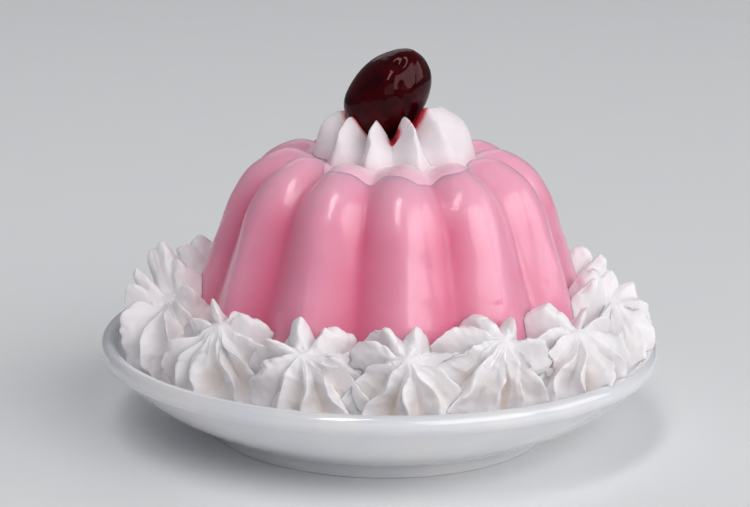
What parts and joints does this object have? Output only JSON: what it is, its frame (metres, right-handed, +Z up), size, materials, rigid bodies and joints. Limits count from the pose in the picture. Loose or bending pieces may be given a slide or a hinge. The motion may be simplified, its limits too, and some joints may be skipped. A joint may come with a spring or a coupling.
{
  "type": "moulded milk jelly on a saucer",
  "caption": "Fluted pink moulded jelly on a footed white saucer, ringed with piped whipped cream stars and topped with a cream star and a preserved fruit.",
  "frame": {"origin": "on the table under the middle of the saucer's foot", "axes": "+Z up, -Y towards the front, +X to the right"},
  "size_m": [0.1546, 0.155, 0.1053],
  "materials": {
    "porcelain": "glazed white porcelain",
    "jelly": "glossy opaque pink milk jelly",
    "cream": "soft satin whipped cream",
    "fruit": "wet glossy dark red skin"
  },
  "bodies": {
    "root": {"plate": "porcelain", "jelly": "jelly", "cream_ring_01": "cream", "cream_ring_02": "cream", "cream_ring_03": "cream", "cream_ring_04": "cream", "cream_ring_05": "cream", "cream_ring_06": "cream", "cream_ring_07": "cream", "cream_ring_08": "cream", "cream_ring_09": "cream", "cream_ring_10": "cream", "cream_ring_11": "cream", "cream_ring_12": "cream", "cream_ring_13": "cream", "cream_top": "cream", "fruit": "fruit"}
  },
  "joints": []
}
